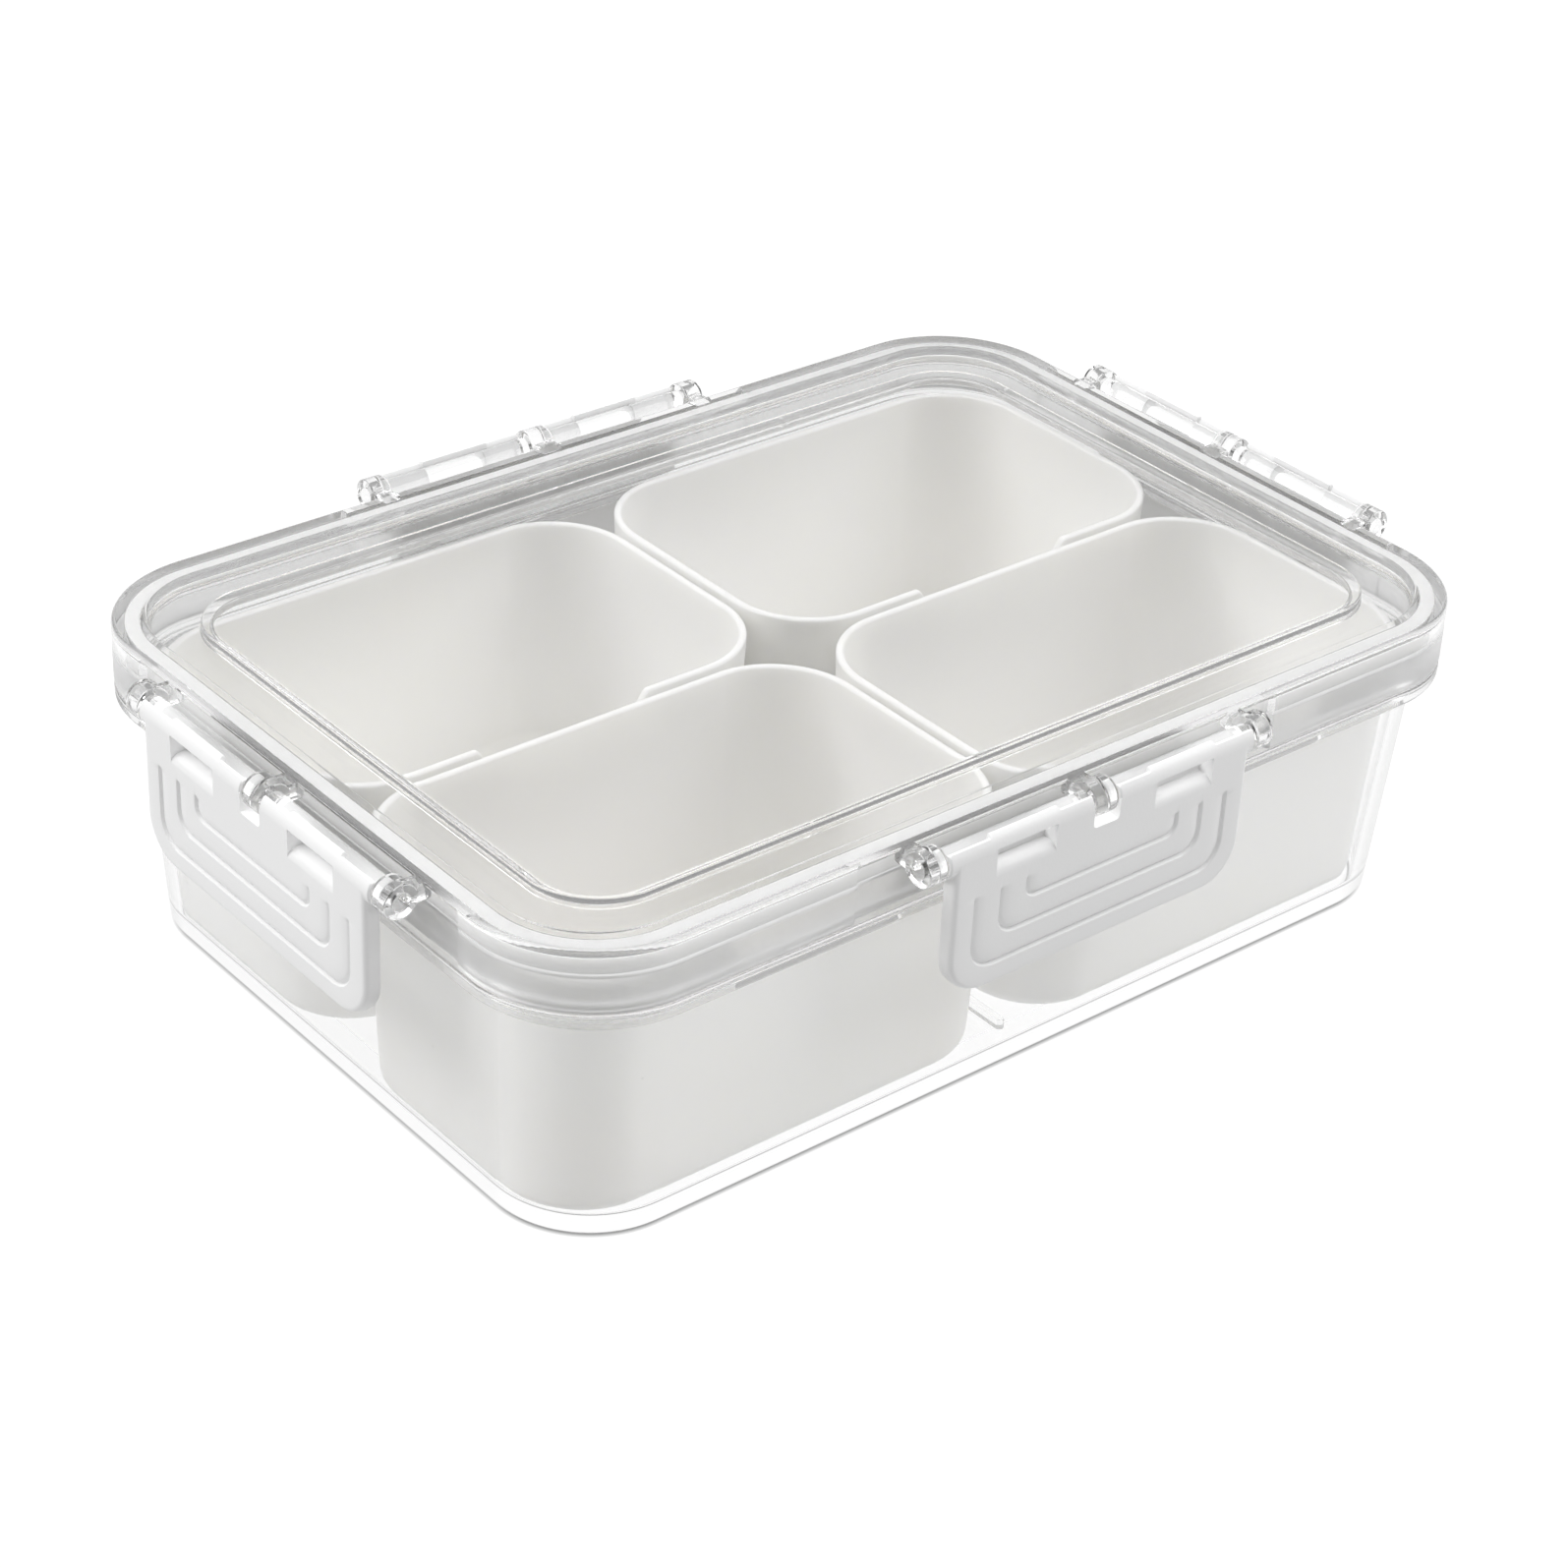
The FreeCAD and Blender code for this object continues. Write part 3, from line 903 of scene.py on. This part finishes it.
def use_group(tree, maker, **values):
    """A node of a group that is built once, with this material's own values."""
    if maker not in groups:
        groups[maker] = maker()
    node = tree.nodes.new("ShaderNodeGroup")
    node.node_tree = groups[maker]
    for key, value in values.items():
        node.inputs[key.replace("_", " ").capitalize()].default_value = value
    return node


def new_material(name):
    """A node material with its Principled shader."""
    material = bpy.data.materials.new(name)
    material.use_nodes = True
    tree = material.node_tree
    return material, tree, tree.nodes["Principled BSDF"]


def frosted_skirt(tree, height, colour, rough):
    """Colour and roughness of the lid with its frosted lower skirt and a painted shade line along the skirt's
    lip, where the gap above the flange lies in shade.
    """
    top = lid_top - frost_drop
    frost = ranged(tree, height, 1.0, 0.0, from_low=(top - frost_fade) * MM, from_high=top * MM)
    colour = blended(tree, frost, colour, grey(frost_tint))
    # The skirt's lip is painted darker: painted shade of the narrow gap above the flange.
    gap_shade_low = (skirt_bottom + gap_shade_height / 2) * MM
    gap_shade_high = (skirt_bottom + gap_shade_height) * MM
    gap_shade = ranged(tree, height, 1.0, 0.0, from_low=gap_shade_low, from_high=gap_shade_high)
    colour = blended(tree, gap_shade, colour, grey(painted_gap_shade_tint))
    frosted = maths(tree, "MULTIPLY", frost, frost_roughness)
    return colour, maths(tree, "MAXIMUM", frosted, rough)


def clear_plastic(name, light, deep, edge_shade_start, trapped_shade_tint, skirt=False):
    """Polished clear plastic: bends what is seen through it, and lets studio light reach what is inside.

    Light that is caught inside the plastic, or meets the face on the floor, goes straight on; caught light
    leaves tinted grey, a painted shade that darkens thick edges.
    """
    material, tree, shader = new_material(name)
    shader.inputs["Transmission Weight"].default_value = 1.0
    shader.inputs["IOR"].default_value = clear_index
    flow = use_group(tree, flow_group, light_colour=light, deep_colour=deep, scale=14.0,
                     low_roughness=0.0, high_roughness=0.03)
    specks = use_group(tree, speck_group, scale=120.0, size=0.03, strength=0.35)
    # Faces seen edge-on are painted darker, a painted shade for the dark edge lines of the clear plastic.
    facing = add_node(tree, "ShaderNodeLayerWeight", {"Blend": 0.5}).outputs["Facing"]
    painted_edge_shade = ranged(tree, facing, 0.0, 1.0, from_low=edge_shade_start)
    colour = blended(tree, specks.outputs["Mask"], flow.outputs["Colour"], grey(clear_speck_tint))
    colour = blended(tree, painted_edge_shade, colour, grey(painted_edge_shade_tint))
    rough = flow.outputs["Roughness"]
    place = add_node(tree, "ShaderNodeTexCoord").outputs["Object"]
    height = add_node(tree, "ShaderNodeSeparateXYZ", {0: place}).outputs["Z"]
    if skirt:
        colour, rough = frosted_skirt(tree, height, colour, rough)
    tree.links.new(colour, shader.inputs["Base Color"])
    tree.links.new(rough, shader.inputs["Roughness"])
    inner = add_node(tree, "ShaderNodeNewGeometry").outputs["Backfacing"]
    low = maths(tree, "LESS_THAN", height, resting_height * MM)
    resting = maths(tree, "MULTIPLY", inner, low)
    path = add_node(tree, "ShaderNodeLightPath").outputs
    unseen = maths(tree, "MAXIMUM", path["Is Shadow Ray"], path["Is Diffuse Ray"])
    trapped = maths(tree, "GREATER_THAN", path["Glossy Depth"], glossy_bounces)
    straight = maths(tree, "MAXIMUM", maths(tree, "MAXIMUM", unseen, trapped), resting)
    # Light caught inside the plastic is let out darkened to a grey tint: painted shade along thick edges.
    tint = blended(tree, trapped, grey(through_tint), grey(trapped_shade_tint))
    through = add_node(tree, "ShaderNodeBsdfTransparent", {"Color": tint})
    shaders = {0: straight, 1: shader.outputs[0], 2: through.outputs[0]}
    mix = add_node(tree, "ShaderNodeMixShader", shaders)
    tree.links.new(mix.outputs[0], tree.nodes["Material Output"].inputs["Surface"])
    return material


def satin_plastic(name, light, deep, roughness, bump, glow=0.0):
    """White satin plastic: cloudy tone, fine grain, a few specks; glow is how far light spreads inside it."""
    material, tree, shader = new_material(name)
    flow = use_group(tree, flow_group, light_colour=light, deep_colour=deep, scale=18.0,
                     low_roughness=roughness - roughness_swing, high_roughness=roughness + roughness_swing)
    specks = use_group(tree, speck_group, scale=150.0, size=0.035, strength=0.3)
    colour = blended(tree, specks.outputs["Mask"], flow.outputs["Colour"], grey(satin_speck_tint))
    tree.links.new(colour, shader.inputs["Base Color"])
    tree.links.new(flow.outputs["Roughness"], shader.inputs["Roughness"])
    grain = use_group(tree, grain_group, ripple_share=0.35)
    relief = {"Height": grain.outputs["Height"], "Strength": bump, "Distance": grain_lift * MM}
    lifted = add_node(tree, "ShaderNodeBump", relief)
    tree.links.new(lifted.outputs["Normal"], shader.inputs["Normal"])
    if glow:
        shader.inputs["Subsurface Weight"].default_value = 1.0
        shader.inputs["Subsurface Radius"].default_value = glow_radius
        shader.inputs["Subsurface Scale"].default_value = glow
    return material


def dress(obj, material, slot, body, *nodes):
    """Gives a piece its finish, its body and the nodes that it stands for."""
    obj.data.materials.clear()
    obj.data.materials.append(material)
    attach(obj, body)
    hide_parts(*nodes)


lid_finish = clear_plastic(
    "clear_lid_plastic", light=grey(0.955), deep=grey(0.935), edge_shade_start=0.74, trapped_shade_tint=0.88, skirt=True,
)
tub_finish = clear_plastic(
    "clear_tub_plastic", light=grey(0.995), deep=grey(0.985), edge_shade_start=0.50, trapped_shade_tint=0.90,
)
seal_finish = satin_plastic(
    "milky_silicone", light=grey(0.76), deep=grey(0.72), roughness=0.45, bump=0.15, glow=1.0,
)
latch_finish = satin_plastic(
    "latch_white", light=grey(0.92), deep=grey(0.89), roughness=0.38, bump=0.25,
)
cup_finish = satin_plastic(
    "cup_white", light=grey(0.94, cup_light_tint), deep=grey(0.92, cup_deep_tint),
    roughness=0.42, bump=0.3, glow=0.45,
)

dress(make_tub(), tub_finish, "clear_tub", "tub", "tub")
dress(make_lid(), lid_finish, "clear_lid", "lid", "lid")
dress(make_gasket(), seal_finish, "silicone", "lid", "gasket")
for side in side_turns:
    latch = on_side(make_latch("white_latch_" + side), side)
    dress(latch, latch_finish, "latch_white", "latch_" + side, "latch_" + side)
for row in ("front", "back"):
    for column in ("left", "right"):
        node = "cup_" + row + "_" + column
        dress(make_cup("white_" + node, node), cup_finish, "cup_white", node, node)


# Stage, light and camera. A painted contact shadow, a dark line on the floor, lies under the tub's rounded
# bottom edge.
floor_half = 30.0
floor_drop = 0.2
floor_tint = 0.05
floor_bounce = 0.6
# Painted contact shadow: the floor's glow drops to this grey in a thin line under the tub's edge.
painted_contact_shadow_tint = 0.3
contact_full = 0.6 * base_radius
contact_fade = 0.9 * base_radius
contact_end = 1.2 * base_radius
box_middle = (0, 0, 0.03)
away_from_camera = (0.653, 0.757, 0.0)
backdrop_share = 0.35
dim_tint = 0.10
bright_tint = 0.95
camera_lens = 84.0
camera_sensor = 36.0
camera_roll = 2.923


def vector_maths(tree, operation, *vectors):
    """A node that works on vectors."""
    return add_node(tree, "ShaderNodeVectorMath", dict(enumerate(vectors)), operation=operation)


def painted_contact_shadow_share(tree):
    """How deep a place on the floor lies in the painted contact shadow, a narrow dark line under the tub's
    rounded bottom edge.
    """
    inset, spread = wall_inset(0.0, 0.0)
    corner = body_corner - inset + spread
    straight = Vector((body_length / 2 - inset - corner, body_depth / 2 - inset - corner, 0)) * MM
    place = add_node(tree, "ShaderNodeTexCoord").outputs["Object"]
    folded = vector_maths(tree, "ABSOLUTE", place).outputs[0]
    past = vector_maths(tree, "SUBTRACT", folded, straight).outputs[0]
    past = vector_maths(tree, "MAXIMUM", past, (0, 0, 0)).outputs[0]
    reach = vector_maths(tree, "LENGTH", past).outputs["Value"]
    rise = ranged(tree, reach, 1.0, 0.0, from_low=(corner - contact_full) * MM, from_high=corner * MM)
    fall_low = (corner - contact_end) * MM
    fall_high = (corner - contact_fade) * MM
    fall = ranged(tree, reach, 0.0, 1.0, from_low=fall_low, from_high=fall_high)
    return maths(tree, "MULTIPLY", rise, fall)


def make_floor():
    """A wide pale floor that stays white in the shade of the box, apart from a painted contact shadow under
    the tub's edge.
    """
    turns = ((-1, -1), (1, -1), (1, 1), (-1, 1))
    mesh = bpy.data.meshes.new("floor")
    mesh.from_pydata([(sx * floor_half, sy * floor_half, 0) for sx, sy in turns], [], [(0, 1, 2, 3)])
    floor = bpy.data.objects.new("floor", mesh)
    bpy.context.scene.collection.objects.link(floor)
    material, tree, shader = new_material("pale_floor")
    shader.inputs["Base Color"].default_value = grey(floor_tint)
    shader.inputs["Roughness"].default_value = 0.9
    shader.inputs["Specular IOR Level"].default_value = 0.1
    # The floor's glow is darkened in a thin ring under the tub's edge: a painted contact shadow.
    colour = blended(tree, painted_contact_shadow_share(tree), grey(1.0), grey(painted_contact_shadow_tint))
    tree.links.new(colour, shader.inputs["Emission Color"])
    lit = add_node(tree, "ShaderNodeLightPath").outputs["Is Diffuse Ray"]
    tree.links.new(ranged(tree, lit, 1.0, floor_bounce), shader.inputs["Emission Strength"])
    floor.data.materials.append(material)
    floor.location.z = -floor_drop * MM


def soft_box(name, place, target, width, height, brightness):
    """A rectangular soft light aimed at a point, with no mirror image; brightness is that of its face."""
    light = bpy.data.lights.new(name, "AREA")
    light.shape = "RECTANGLE"
    light.size = width
    light.size_y = height
    light.energy = brightness * math.pi * width * height
    obj = bpy.data.objects.new(name, light)
    obj.location = place
    obj.visible_glossy = False
    obj.rotation_euler = (Vector(target) - Vector(place)).to_track_quat("-Z", "Y").to_euler()
    bpy.context.scene.collection.objects.link(obj)


def make_world():
    """A studio with a light backdrop behind the box, light overhead and a dim side at the camera."""
    world = bpy.data.worlds.new("studio")
    bpy.context.scene.world = world
    world.use_nodes = True
    tree = world.node_tree
    place = add_node(tree, "ShaderNodeTexCoord").outputs["Generated"]
    height = add_node(tree, "ShaderNodeSeparateXYZ", {0: place}).outputs["Z"]
    overhead = ranged(tree, height, 0.0, 1.0, from_low=0.35)
    away = vector_maths(tree, "DOT_PRODUCT", place, away_from_camera).outputs["Value"]
    backdrop = ranged(tree, away, 0.0, backdrop_share, from_low=0.2, from_high=0.9)
    share = maths(tree, "MAXIMUM", overhead, backdrop)
    back = tree.nodes["Background"]
    tree.links.new(blended(tree, share, grey(dim_tint), grey(bright_tint)), back.inputs["Color"])
    back.inputs["Strength"].default_value = 1.0


def make_camera():
    """The camera that the photograph was taken with, in the box's frame, closer in by its lens."""
    place = Vector((-0.33434, -0.38770, 0.33406))
    back = Vector((-0.556384, -0.645191, 0.523608)).normalized()
    roll = math.radians(camera_roll)
    level = Vector((-back.y, back.x, 0)).normalized()
    upright = back.cross(level)
    right = level * math.cos(roll) + upright * math.sin(roll)
    up = upright * math.cos(roll) - level * math.sin(roll)
    camera = bpy.data.cameras.new("camera")
    camera.lens = camera_lens
    camera.sensor_width = camera_sensor
    camera.dof.use_dof = False
    obj = bpy.data.objects.new("camera", camera)
    obj.matrix_world = Matrix((
        (right.x, up.x, back.x, place.x),
        (right.y, up.y, back.y, place.y),
        (right.z, up.z, back.z, place.z),
        (0, 0, 0, 1),
    ))
    bpy.context.scene.collection.objects.link(obj)
    bpy.context.scene.camera = obj


make_floor()
soft_box("left_box", (-0.66, 0.53, 0.72), box_middle, width=0.8, height=0.7, brightness=4.2)
soft_box("right_box", (0.72, -0.46, 0.72), box_middle, width=0.8, height=0.7, brightness=3.1)
soft_box("top_box", (0.0, 0.0, 1.3), (0, 0, 0), width=1.0, height=1.0, brightness=1.4)
make_world()
make_camera()
bpy.context.scene.view_settings.view_transform = "Standard"
